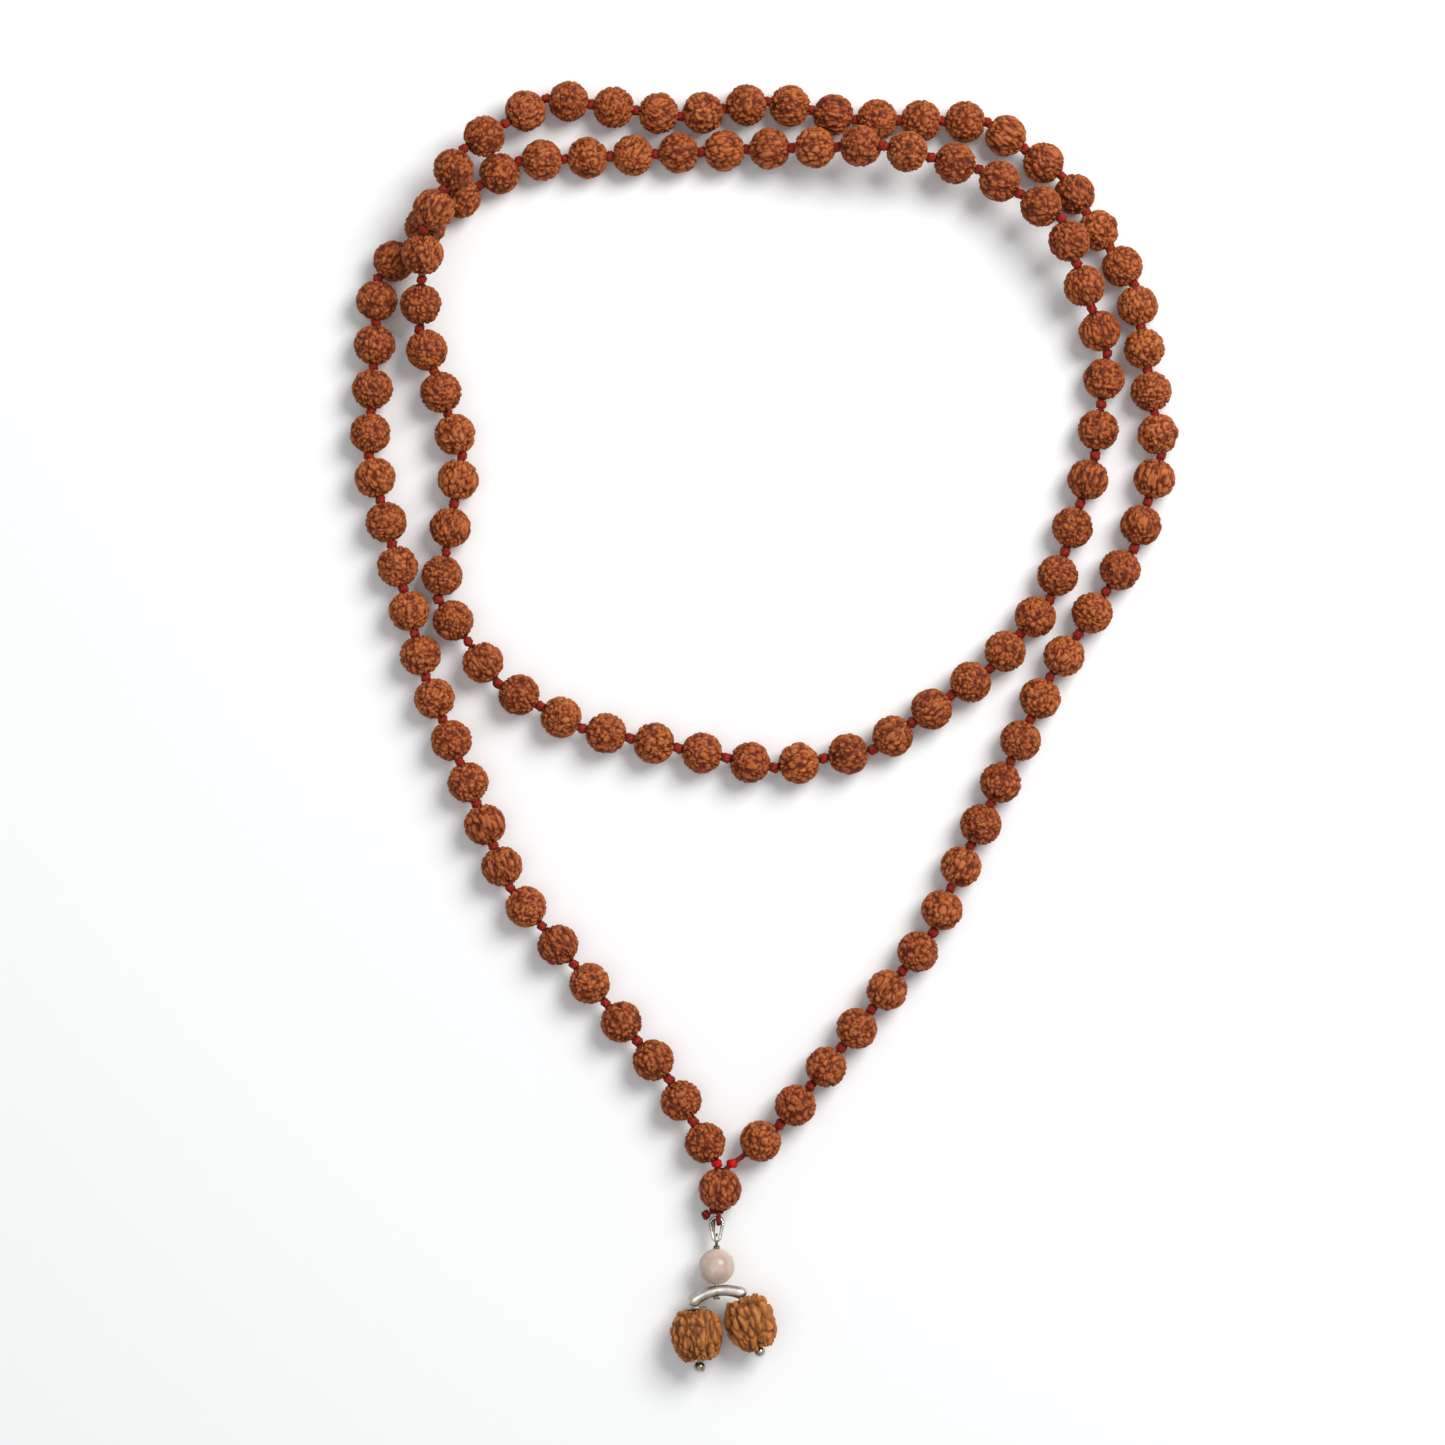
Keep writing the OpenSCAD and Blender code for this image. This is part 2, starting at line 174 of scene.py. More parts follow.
class PendantSettings(bpy.types.PropertyGroup):
    left_diameter: bpy.props.FloatProperty(
        name="Left seed diameter", description="Diameter of the left pendant seed",
        default=9 * MM, unit="LENGTH")
    right_diameter: bpy.props.FloatProperty(
        name="Right seed diameter", description="Diameter of the right pendant seed",
        default=8.8 * MM, unit="LENGTH")
    crown_colour: bpy.props.FloatVectorProperty(
        name="Crown colour", description="Colour on the ridges of a pendant seed",
        subtype="COLOR", default=(0.46, 0.165, 0.04))
    # The cleft colour is painted shade in the clefts of a pendant seed.
    cleft_shade_colour: bpy.props.FloatVectorProperty(
        name="Cleft colour", description="Colour in the clefts of a pendant seed",
        subtype="COLOR", default=(0.07, 0.013, 0.004))
    silver_colour: bpy.props.FloatVectorProperty(
        name="Silver colour", description="Colour of the silver",
        subtype="COLOR", default=(0.78, 0.76, 0.7))
    tarnish_colour: bpy.props.FloatVectorProperty(
        name="Tarnish colour", description="Colour of tarnished silver",
        subtype="COLOR", default=(0.2, 0.17, 0.1))
    quartz_colour: bpy.props.FloatVectorProperty(
        name="Quartz colour", description="Colour of the quartz bead",
        subtype="COLOR", default=(0.53, 0.405, 0.335))


class StageSettings(bpy.types.PropertyGroup):
    view_width: bpy.props.FloatProperty(
        name="View width", description="Width of the table that the camera sees",
        default=0.2408, unit="LENGTH")
    camera_height: bpy.props.FloatProperty(
        name="Camera height", description="Height of the camera above the beads",
        default=0.9, unit="LENGTH")
    floor_colour: bpy.props.FloatVectorProperty(
        name="Floor colour", description="Colour of the table",
        subtype="COLOR", default=(0.86, 0.86, 0.85))
    key_power: bpy.props.FloatProperty(
        name="Key power", description="Power of the light at the upper right",
        default=8.5, unit="POWER")
    fill_power: bpy.props.FloatProperty(
        name="Fill power", description="Power of the light overhead",
        default=2.6, unit="POWER")


# Making and placing pieces


def show(name, shape, body, materials, nodes=()):
    """Turns a bmesh into a finished piece that rides on a body and replaces CAD nodes."""
    mesh = bpy.data.meshes.new(name)
    shape.to_mesh(mesh)
    shape.free()
    mesh.shade_smooth()
    for material in materials:
        mesh.materials.append(material)
    piece = bpy.data.objects.new(name, mesh)
    bpy.context.scene.collection.objects.link(piece)
    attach(piece, body)
    if nodes:
        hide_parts(*nodes)
    return piece


def spun(profile, steps, closed=False):
    """A profile of (radius, height) points turned about Z into a bmesh."""
    shape = bmesh.new()
    points = [shape.verts.new((radius, 0, height)) for radius, height in profile]
    edges = [shape.edges.new(pair) for pair in zip(points, points[1:])]
    if closed:
        edges.append(shape.edges.new((points[-1], points[0])))
    bmesh.ops.spin(
        shape, geom=points + edges, cent=(0, 0, 0), axis=(0, 0, 1),
        angle=2 * math.pi, steps=steps, use_merge=True)
    bmesh.ops.remove_doubles(shape, verts=shape.verts[:], dist=MERGE_DISTANCE)
    bmesh.ops.recalc_face_normals(shape, faces=shape.faces[:])
    return shape


def add_copy(shape, mesh, matrix):
    """Adds a transformed copy of a mesh to a bmesh and returns the new vertices."""
    before = len(shape.verts)
    shape.from_mesh(mesh)
    shape.verts.ensure_lookup_table()
    fresh = shape.verts[before:]
    bmesh.ops.transform(shape, matrix=matrix, verts=fresh)
    return fresh


def to_mesh(shape, name):
    mesh = bpy.data.meshes.new(name)
    shape.to_mesh(mesh)
    shape.free()
    return mesh


def set_attribute(mesh, name, values):
    layer = mesh.attributes.new(name, "FLOAT", "POINT")
    layer.data.foreach_set("value", np.asarray(values, np.float32))


def turned_to(place, direction, roll=0.0):
    """Moves the origin to a place and turns Z to a direction."""
    turn = UP.rotation_difference(direction).to_matrix().to_4x4()
    return Matrix.Translation(place) @ turn @ Matrix.Rotation(roll, 4, "Z")


# Materials


def shade(colour, share):
    """A colour made darker or lighter by a share."""
    return tuple(min(1.0, share * part) for part in colour)


def new_material(name, roughness, metallic=0.0):
    material = bpy.data.materials.new(name)
    material.use_nodes = True
    nodes = material.node_tree.nodes
    shader = nodes["Principled BSDF"]
    shader.inputs["Roughness"].default_value = roughness
    shader.inputs["Metallic"].default_value = metallic
    return material, nodes, material.node_tree.links, shader


def ramp(nodes, links, source, stops):
    """A colour ramp fed by a socket; its output is the colour."""
    node = nodes.new("ShaderNodeValToRGB")
    elements = node.color_ramp.elements
    while len(elements) < len(stops):
        elements.new(0.5)
    for element, (position, colour) in zip(elements, stops):
        element.position = position
        element.color = (*colour, 1)
    links.new(source, node.inputs["Fac"])
    return node.outputs["Color"]


def grain(nodes, links, scale, detail=3.0):
    """Noise on Object coordinates; its output is the factor."""
    where = nodes.new("ShaderNodeTexCoord")
    node = nodes.new("ShaderNodeTexNoise")
    node.inputs["Scale"].default_value = scale
    node.inputs["Detail"].default_value = detail
    links.new(where.outputs["Object"], node.inputs["Vector"])
    return node.outputs["Fac"]


def mix_colours(nodes, links, factor, first, second, blend="MIX"):
    """Blends two colours; each of the three may be a socket or a fixed value."""
    node = nodes.new("ShaderNodeMix")
    node.data_type = "RGBA"
    node.blend_type = blend
    for index, source in zip(MIX_INPUTS, (factor, first, second)):
        socket = node.inputs[index]
        if isinstance(source, bpy.types.NodeSocket):
            links.new(source, socket)
        elif isinstance(source, (int, float)):
            socket.default_value = source
        else:
            socket.default_value = (*source, 1)
    return node.outputs[MIX_OUTPUT]


def attribute(nodes, name):
    """A value that the mesh carries at each vertex."""
    node = nodes.new("ShaderNodeAttribute")
    node.attribute_name = name
    return node.outputs["Fac"]


def ridged(nodes, links, shader, height, depth):
    """Gives a shader fine relief of a depth in metres."""
    bump = nodes.new("ShaderNodeBump")
    bump.inputs["Strength"].default_value = 0.6
    bump.inputs["Distance"].default_value = depth
    links.new(height, bump.inputs["Height"])
    links.new(bump.outputs["Normal"], shader.inputs["Normal"])


def rough_between(nodes, links, shader, source, low, high):
    """Makes the roughness follow a socket."""
    node = nodes.new("ShaderNodeMapRange")
    node.inputs["To Min"].default_value = low
    node.inputs["To Max"].default_value = high
    links.new(source, node.inputs["Value"])
    links.new(node.outputs["Result"], shader.inputs["Roughness"])


def seed_material(name, cleft, flank, crown, tan):
    """Oiled seed: clefts darkened with painted shade, lighter crowns, and a tone of its own for
    each bead.
    """
    material, nodes, links, shader = new_material(name, 0.55)
    crowns = attribute(nodes, "crown")
    # Both ramps paint shade by height: crown colour on top, down to the cleft colour at the bottom
    # of a cleft.
    deep = ramp(nodes, links, crowns, [(0.0, cleft), (0.28, flank), (0.75, crown)])
    light = ramp(nodes, links, crowns, [(0.0, cleft), (0.22, flank), (0.5, crown), (0.9, tan)])
    toned = mix_colours(nodes, links, attribute(nodes, "tone"), deep, light)
    patches = grain(nodes, links, MOTTLE_SCALE)
    mottle = ramp(nodes, links, patches, [(0.3, DARK_MOTTLE), (0.7, LIGHT_MOTTLE)])
    colour = mix_colours(nodes, links, 1.0, toned, mottle, "MULTIPLY")
    links.new(colour, shader.inputs["Base Color"])
    shader.inputs["Specular IOR Level"].default_value = 0.22
    rough_between(nodes, links, shader, crowns, 0.8, 0.5)
    ridged(nodes, links, shader, grain(nodes, links, PORE_SCALE, 5), 0.12 * MM)
    return material


def cord_material(name, colour):
    """Twisted nylon: fine fibres and a slight sheen."""
    material, nodes, links, shader = new_material(name, 0.6)
    fibres = grain(nodes, links, FIBRE_SCALE, 4)
    strands = ramp(nodes, links, fibres, [(0.32, shade(colour, 0.35)), (0.62, colour)])
    links.new(strands, shader.inputs["Base Color"])
    shader.inputs["Sheen Weight"].default_value = 0.02
    shader.inputs["Specular IOR Level"].default_value = 0.15
    shader.inputs["Sheen Roughness"].default_value = 0.4
    ridged(nodes, links, shader, fibres, 0.1 * MM)
    return material


def silver_material(name, colour, tarnish, low, high, grain_scale):
    """Silver with a faint tarnish and fine rubbing marks."""
    material, nodes, links, shader = new_material(name, low, 1.0)
    marks = grain(nodes, links, grain_scale, 4)
    wear = grain(nodes, links, WEAR_SCALE)
    worn = ramp(nodes, links, wear, [(0.42, tarnish), (0.6, colour)])
    links.new(worn, shader.inputs["Base Color"])
    shader.inputs["Specular Tint"].default_value = (*GOLDEN_GLANCE, 1)
    rough_between(nodes, links, shader, marks, low, high)
    ridged(nodes, links, shader, marks, 0.015 * MM)
    return material


def quartz_material(name, colour):
    """Polished rose quartz: cloudy, and light passes some way into it."""
    material, nodes, links, shader = new_material(name, 0.3)
    haze = grain(nodes, links, CLOUD_SCALE)
    clouds = ramp(nodes, links, haze, [(0.35, shade(colour, 0.82)), (0.65, shade(colour, 1.2))])
    links.new(clouds, shader.inputs["Base Color"])
    shader.inputs["Subsurface Weight"].default_value = 0.6
    shader.inputs["Subsurface Radius"].default_value = (1.0, 0.6, 0.5)
    shader.inputs["Subsurface Scale"].default_value = 1.2 * MM
    shader.inputs["Coat Weight"].default_value = 0.1
    shader.inputs["Coat Roughness"].default_value = 0.2
    ridged(nodes, links, shader, grain(nodes, links, RIPPLE_SCALE, 2), 0.02 * MM)
    return material


# Seeds


def seeded_draws(seed):
    """Random draws from a seed, with the noise that bends the pebbles seeded too."""
    noise.seed_set(WARP_SEED)
    return random.Random(seed)


def random_look(draws, pebbles, lengthwise):
    """What makes one seed's surface its own."""
    far = 50
    return {
        "place": Vector([draws.uniform(-far, far) for axis in range(3)]),
        "pebbles": pebbles * draws.uniform(0.85, 1.12),
        "lengthwise": lengthwise * draws.uniform(0.8, 1.2),
        "winding": draws.uniform(0.5, 0.95),
        "seams": draws.choice((4, 5, 5, 5, 6)),
        "seam_depth": draws.choice((0.25, 0.5, 0.8)),
    }


def seed_relief(direction, look):
    """Height of a seed's surface in a direction: 0 in a cleft, 1 on a crown."""
    at = Vector((direction.x, direction.y, direction.z * look["lengthwise"])) * look["pebbles"]
    at += look["place"]
    at += noise.noise_vector(at * 0.8) * look["winding"]
    near = noise.voronoi(at)[0]
    dome_reach, dome_share, edge_width = 0.66, 0.4, 0.3
    dome = 1 - min(1.0, near[0] / dome_reach) ** 2
    edge = min(1.0, (near[1] - near[0]) / edge_width)
    pebble = dome_share * dome + (1 - dome_share) * edge
    crumb_scale, crumb_share, crumb_edge = 1.9, 0.14, 0.4
    close = noise.voronoi(at * crumb_scale)[0]
    crumb = min(1.0, (close[1] - close[0]) / crumb_edge)
    wander = noise.noise(direction * 2.2 + look["place"]) * 1.6
    seam = abs(math.sin(look["seams"] / 2 * math.atan2(direction.y, direction.x) + wander))
    seam_width = 0.06 * look["seams"]
    cleft = look["seam_depth"] * max(0.0, 1 - seam / seam_width)
    return max(0.0, ((1 - crumb_share) * pebble + crumb_share * crumb) * (1 - cleft))


def carve(shape, look, depth, lumps, bore):
    """Presses clefts into a bored seed of unit radius, and returns each vertex's height, set low in
    the bore and lowered round the pole dimples to paint shade there.
    """
    dimple_depth, dimple_spread, bore_shade = 0.19, 0.22, 0.15
    heights = []
    for vertex in shape.verts:
        direction = vertex.co.normalized()
        reach = vertex.co.length
        # Inside the bore the height is a low fixed value, which paints shade there.
        if math.hypot(vertex.co.x, vertex.co.y) < 1.02 * bore:
            heights.append(bore_shade)
            continue
        relief = seed_relief(direction, look)
        lump = 0.5 + 0.5 * noise.noise(direction * 1.7 + look["place"])
        polar = math.acos(min(1.0, abs(direction.z)))
        dimple = dimple_depth * math.exp(-((polar / dimple_spread) ** 2))
        shrink = 1 - depth * (1 - relief) - lumps * lump - dimple
        vertex.co = direction * (reach * shrink)
        # Lowering the height round the pole dimple paints shade into it.
        heights.append(relief * (1 - 2.5 * dimple))
    swell_to_crowns(shape)
    return heights


def swell_to_crowns(shape):
    """Scales a carved ball until its crowns reach unit radius, and rounds the highest off."""
    crown_rank, knee, room = 0.8, 0.98, 0.05
    reaches = sorted(vertex.co.length for vertex in shape.verts)
    crown = reaches[int(crown_rank * len(reaches))]
    for vertex in shape.verts:
        reach = vertex.co.length / crown
        if reach > knee:
            reach = knee + room * (1 - math.exp((knee - reach) / room))
        vertex.co *= reach / vertex.co.length


def bored_ball(rows, columns, bore):
    """A ball of unit radius with a bore along Z."""
    first = math.asin(bore)
    profile = []
    for row in range(rows + 1):
        polar = first + (math.pi - 2 * first) * row / rows
        profile.append((math.sin(polar), math.cos(polar)))
    return spun(profile, columns, closed=True)


def bead_count(run):
    """Number of beads on a straight run of the cord."""
    settings = bpy.context.scene.mala_strand
    return round((ROUTE[run] - ROUTE[run - 1]).length / settings.knot_pitch)


def knot_places(section):
    """Every knot that a section of the strand owns, with the cord's direction there."""
    places = []
    for name, first, last, owns_first, owns_last in STRETCHES:
        if name != section:
            continue
        for run in range(first + 1, last + 1):
            step = (ROUTE[run] - ROUTE[run - 1]) / bead_count(run)
            for k in range(1, bead_count(run)):
                places.append((ROUTE[run - 1] + k * step, step.normalized()))
        for i in range(first, last + 1):
            if (i == first and not owns_first) or (i == last and not owns_last):
                continue
            along = ROUTE[min(i + 1, RUNS)] - ROUTE[max(i - 1, 0)]
            places.append((ROUTE[i], along.normalized()))
    return places


# The pieces


class MALA_OT_camera(bpy.types.Operator):
    """Places the camera straight above the table"""

    bl_idname = "mala.camera"
    bl_label = "Camera"

    def execute(self, context):
        settings = context.scene.mala_stage
        view_middle = (-6.6 * MM, 0.5 * MM)
        data = bpy.data.cameras.new("camera")
        data.sensor_width = 36
        data.lens = data.sensor_width * settings.camera_height / settings.view_width
        data.clip_start = 0.01
        data.clip_end = 20
        camera = bpy.data.objects.new("camera", data)
        camera.location = (*view_middle, BODY_MIDDLE + settings.camera_height)
        context.scene.collection.objects.link(camera)
        context.scene.camera = camera
        return {"FINISHED"}


def rounded_path(points, radius):
    """The points of a path with each corner rounded to a radius."""
    straight, longest_cut, steps = 0.01, 0.45, 6
    path = [points[0]]
    for before, corner, after in zip(points, points[1:], points[2:]):
        into, out = (corner - before).normalized(), (after - corner).normalized()
        half_turn = into.angle(out) / 2
        if half_turn < straight:
            path.append(corner)
            continue
        room = min(longest_cut * (corner - before).length, longest_cut * (after - corner).length)
        cut = min(radius * math.tan(half_turn), room)
        start, end = corner - into * cut, corner + out * cut
        for k in range(steps + 1):
            t = k / steps
            path.append((1 - t) ** 2 * start + 2 * t * (1 - t) * corner + t ** 2 * end)
    return path + [points[-1]]


class MALA_OT_cords(bpy.types.Operator):
    """Lays the cord of the strand, one length for each stretch that folds by itself"""

    bl_idname = "mala.cords"
    bl_label = "Cords"

    def execute(self, context):
        settings = context.scene.mala_strand
        material = cord_material("twisted red cord", settings.cord_colour)
        end_gap = settings.knot_diameter / 2 + 0.1 * MM
        for number, (section, first, last, owns_first, owns_last) in enumerate(STRETCHES, 1):
            points = [point.copy() for point in ROUTE[first:last + 1]]
            if not owns_first and first > 0:
                points[0] += end_gap * (points[1] - points[0]).normalized()
            if not owns_last and last < RUNS:
                points[-1] += end_gap * (points[-2] - points[-1]).normalized()
            if first == 0:
                lead = GURU - CORD_OFFSET
                points = [lead + LEAD_BOTTOM, lead + LEAD_TOP] + points
            if last == RUNS:
                lead = GURU + CORD_OFFSET
                points += [GURU_KNOT, lead + LEAD_TOP, lead + LEAD_BOTTOM]
            path = rounded_path(points, 3 * settings.cord_diameter)
            curve = bpy.data.curves.new(f"cord_{number}_{section}", "CURVE")
            curve.dimensions = "3D"
            curve.bevel_depth = settings.cord_diameter / 2
            curve.bevel_resolution = 3
            curve.use_fill_caps = True
            spline = curve.splines.new("POLY")
            spline.points.add(len(path) - 1)
            for spot, point in zip(spline.points, path):
                spot.co = (*point, 1)
            spline.use_smooth = True
            curve.materials.append(material)
            cord = bpy.data.objects.new(curve.name, curve)
            context.scene.collection.objects.link(cord)
            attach(cord, section)
            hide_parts(f"cord_{section}")
        return {"FINISHED"}


def add_tube(shape, path, diameter, closed=False, shares=None):
    """Adds a round tube along a path to a bmesh, its diameter times a share at each point."""
    curve = bpy.data.curves.new("tube", "CURVE")
    curve.dimensions = "3D"
    curve.bevel_depth = diameter / 2
    curve.bevel_resolution = 3
    curve.use_fill_caps = True
    spline = curve.splines.new("POLY")
    spline.points.add(len(path) - 1)
    for k, (spot, point) in enumerate(zip(spline.points, path)):
        spot.co = (*point, 1)
        spot.radius = shares[k] if shares else 1
    spline.use_cyclic_u = closed
    holder = bpy.data.objects.new("tube", curve)
    bpy.context.scene.collection.objects.link(holder)
    bpy.context.view_layer.update()
    graph = bpy.context.evaluated_depsgraph_get()
    mesh = bpy.data.meshes.new_from_object(holder.evaluated_get(graph))
    bpy.data.objects.remove(holder)
    bpy.data.curves.remove(curve)
    fresh = add_copy(shape, mesh, Matrix.Identity(4))
    bpy.data.meshes.remove(mesh)
    bmesh.ops.remove_doubles(shape, verts=fresh, dist=MERGE_DISTANCE)


def tie_knot(shape, matrix, diameter):
    """Adds a tight overhand knot, seen as three crossing turns of cord, to a bmesh."""
    cord = 0.48 * diameter
    turn_size = 0.088 * diameter
    flatness, steps = 1.6, 48
    path = []
    for k in range(steps):
        t = 2 * math.pi * k / steps
        spot = Vector((
            math.sin(t) + 2 * math.sin(2 * t),
            math.cos(t) - 2 * math.cos(2 * t),
            -flatness * math.sin(3 * t),
        ))
        path.append(matrix @ (turn_size * spot))
    add_tube(shape, path, cord, closed=True)


class MALA_OT_knots(bpy.types.Operator):
    """Ties the knots between the beads"""

    bl_idname = "mala.knots"
    bl_label = "Knots"

    def knot_mesh(self):
        """A small knot of unit radius: a ball with one turn of cord across it."""
        shape = bmesh.new()
        bmesh.ops.create_cube(shape, size=1)
        bmesh.ops.subdivide_edges(shape, edges=shape.edges[:], cuts=2, use_grid_fill=True)
        slant = Vector((1, 0, 0.8)).normalized()
        plump, groove_depth, groove_place, groove_width = 1.04, 0.24, 0.45, 0.2
        for vertex in shape.verts:
            direction = vertex.co.normalized()
            across = abs(direction.dot(slant))
            lump = 0.12 * noise.noise(direction * 1.5)
            groove = groove_depth * math.exp(-((across - groove_place) / groove_width) ** 2)
            vertex.co = direction * (plump + lump - groove)
        return to_mesh(shape, "knot")

    def execute(self, context):
        settings = context.scene.mala_strand
        draws = random.Random(settings.shuffle + 1)
        knot = self.knot_mesh()
        material = cord_material("knotted red cord", shade(settings.cord_colour, 1.15))
        for section in SECTIONS:
            shape = bmesh.new()
            for place, along in knot_places(section):
                if place == ROUTE[0]:
                    continue
                turn = turned_to(place, along, draws.uniform(0, 2 * math.pi))
                stretch = Matrix.Diagonal((1, draws.uniform(0.78, 1), draws.uniform(0.85, 1), 1))
                size = Matrix.Scale(settings.knot_diameter / 2, 4)
                add_copy(shape, knot, turn @ stretch @ size)
            name = f"knots_{section}"
            show(f"red_{name}", shape, section, [material], [name])
        bright = cord_material("bright red cord", settings.bright_colour)
        shape = bmesh.new()
        for place, roll in ((ROUTE[0], 0.4), (GURU_KNOT, 2.2)):
            tie_knot(shape, turned_to(place, Y_AXIS, roll), settings.knot_diameter)
        show("guru_knots", shape, "tail_lower", [bright])
        return {"FINISHED"}


class MALA_OT_strand_beads(bpy.types.Operator):
    """Carves the seed beads of the strand and strings them on their runs"""

    bl_idname = "mala.strand_beads"
    bl_label = "Strand beads"

    def execute(self, context):
        settings = context.scene.mala_strand
        draws = seeded_draws(settings.shuffle)
        material = seed_material(
            "small seed", settings.cleft_shade_colour, settings.flank_shade_colour,
            settings.crown_colour, settings.tan_colour)
        pebbles, cleft_depth, lumps = 4.0, 0.18, 0.02
        round_to_long = (0.95, 0.65, 0.4)
        tone_choices = (0.0, 0.1, 0.2, 0.3, 0.45, 0.7)
        seeds = []
        for k in range(settings.seed_looks):
            look = random_look(draws, pebbles, round_to_long[k % len(round_to_long)])
            shape = bored_ball(50, 96, settings.bore_share)
            heights = carve(shape, look, cleft_depth, lumps, settings.bore_share)
            seeds.append((to_mesh(shape, f"seed {k}"), heights))
        for run in range(1, RUNS + 1):
            along = ROUTE[run] - ROUTE[run - 1]
            count = bead_count(run)
            pitch = along.length / count
            diameter = min(settings.bead_diameter, pitch - settings.bead_gap)
            across = (diameter + settings.bead_diameter) / 2
            shape, crowns, tones = bmesh.new(), [], []
            for k in range(count):
                mesh, heights = seeds[draws.randrange(len(seeds))]
                flip = Matrix.Rotation(math.pi * draws.randrange(2), 4, "X")
                place = ROUTE[run - 1] + along * (k + 0.5) / count
                turn = turned_to(place, along.normalized(), draws.uniform(0, 2 * math.pi))
                squeeze = Matrix.Diagonal((1, draws.uniform(0.98, 1), draws.uniform(0.97, 1), 1))
                wide = Matrix.Diagonal((across, across, diameter, 1)) @ Matrix.Scale(0.5, 4)
                add_copy(shape, mesh, turn @ flip @ squeeze @ wide)
                crowns += heights
                tones += [draws.choice(tone_choices)] * len(heights)
            body = f"strand_beads_{run:02d}"
            piece = show(f"seeds_{run:02d}", shape, body, [material], [body])
            set_attribute(piece.data, "crown", crowns)
            set_attribute(piece.data, "tone", tones)
        return {"FINISHED"}


class MALA_OT_guru_bead(bpy.types.Operator):
    """Carves the guru bead"""

    bl_idname = "mala.guru_bead"
    bl_label = "Guru bead"

    def execute(self, context):
        settings = context.scene.mala_strand
        draws = seeded_draws(settings.shuffle + 2)
        material = bpy.data.materials["small seed"]
        pebbles, lengthwise, cleft_depth, lumps, tone = 3.9, 0.45, 0.17, 0.02, 0.15
        bore = GURU_BORE / settings.guru_diameter
        shape = bored_ball(60, 120, bore)
        heights = carve(shape, random_look(draws, pebbles, lengthwise), cleft_depth, lumps, bore)
        place = turned_to(GURU, Y_AXIS) @ Matrix.Scale(settings.guru_diameter / 2, 4)
        bmesh.ops.transform(shape, matrix=place, verts=shape.verts[:])
        piece = show("guru_seed", shape, "guru_bead", [material], ["guru_bead"])
        set_attribute(piece.data, "crown", heights)
        set_attribute(piece.data, "tone", [tone] * len(heights))
        return {"FINISHED"}


class MALA_OT_pendant_seeds(bpy.types.Operator):
    """Carves the two larger seeds of the pendant"""

    bl_idname = "mala.pendant_seeds"
    bl_label = "Pendant seeds"

    def seat(self, bore, end, side):
        """Outline of an end's seat, from the bore to its rim."""
        height, lobe, width = end
        points = [(bore, side * height * MM)]
        if lobe:
            rim_gap, rim_flare, rim_share = 0.15, 0.35 * MM, 0.97
            reach = (width / 2 + rim_gap) * MM
            points += [
                (reach, side * height * MM),
                (reach + rim_flare, side * (height + rim_share * lobe) * MM),
            ]
        return points

    def outline(self, bore, diameter, seed):
        """Half of a seed's section: an ellipse between its two seats."""
        rows = 64
        top, bottom = seed["top"], seed["bottom"]
        high, low = (top[0] + top[1]) * MM, (bottom[0] + bottom[1]) * MM
        points = self.seat(bore, top, 1)
        for row in range(rows + 1):
            height = high - (high + low) * (1 - math.cos(math.pi * row / rows)) / 2
            across = math.sqrt(1 - (height / (seed["half_length"] * MM)) ** 2)
            points.append((diameter / 2 * across, height))
        return points + self.seat(bore, bottom, -1)[::-1]

    def carve_ridges(self, shape, bore, seed, look):
        """Presses clefts in between the seats, and returns each vertex's height; at the bore and
        under the caps and cups the height is set low, which paints shade there.
        """
        top, bottom = seed["top"], seed["bottom"]
        cleft_depth, lumps, swell, seat_shade = 0.17, 0.02, 1.02, 0.1
        fade, seat_gap, margin = 1.2 * MM, 0.2 * MM, 1e-6
        heights = []
        for vertex in shape.verts:
            across = math.hypot(vertex.co.x, vertex.co.y)
            height = vertex.co.z
            in_seat = -bottom[0] * MM + margin > height or height > top[0] * MM - margin
            seat_width = (top[2] if height > 0 else bottom[2]) / 2 * MM + seat_gap
            # In the bore and under the caps and cups, a low height paints shade.
            if across < 1.1 * bore or (in_seat and across < seat_width):
                heights.append(seat_shade)
                continue
            direction = vertex.co.normalized()
            relief = seed_relief(direction, look)
            lump = 0.5 + 0.5 * noise.noise(direction * 1.4 + look["place"])
            near_end = min(1.0, (across - 1.1 * bore) / fade)
            vertex.co *= swell - near_end * (cleft_depth * (1 - relief) + lumps * lump)
            heights.append(relief)
        return heights

    def execute(self, context):
        settings = context.scene.mala_pendant
        crown = settings.crown_colour
        # Towards the clefts the seed is darkened with painted shade, through a flank at half the
        # crown colour down to the cleft colour.
        material = seed_material(
            "large seed", settings.cleft_shade_colour, shade(crown, 0.5), crown, shade(crown, 1.15))
        draws = seeded_draws(PENDANT_SHUFFLE)
        pebbles, lengthwise, tone = 3.9, 0.34, 0.3
        bore = 0.5 * MM
        for side, seed in PENDANT_SEEDS.items():
            node = f"{side}_pendant_bead"
            joint = next(j for j in frame["joints"] if j["name"] == f"{node}_spin")
            place = turned_to(Vector(joint["pos_m"]), -Vector(joint["axis"]))
            diameter = getattr(settings, f"{side}_diameter")
            shape = spun(self.outline(bore, diameter, seed), 150, closed=True)
            look = random_look(draws, pebbles, lengthwise)
            look.update(seams=seed["ridges"], seam_depth=0.65, winding=0.6)
            heights = self.carve_ridges(shape, bore, seed, look)
            bmesh.ops.transform(shape, matrix=place, verts=shape.verts[:])
            piece = show(f"{side}_seed", shape, node, [material], [node])
            set_attribute(piece.data, "crown", heights)
            set_attribute(piece.data, "tone", [tone] * len(heights))
        return {"FINISHED"}


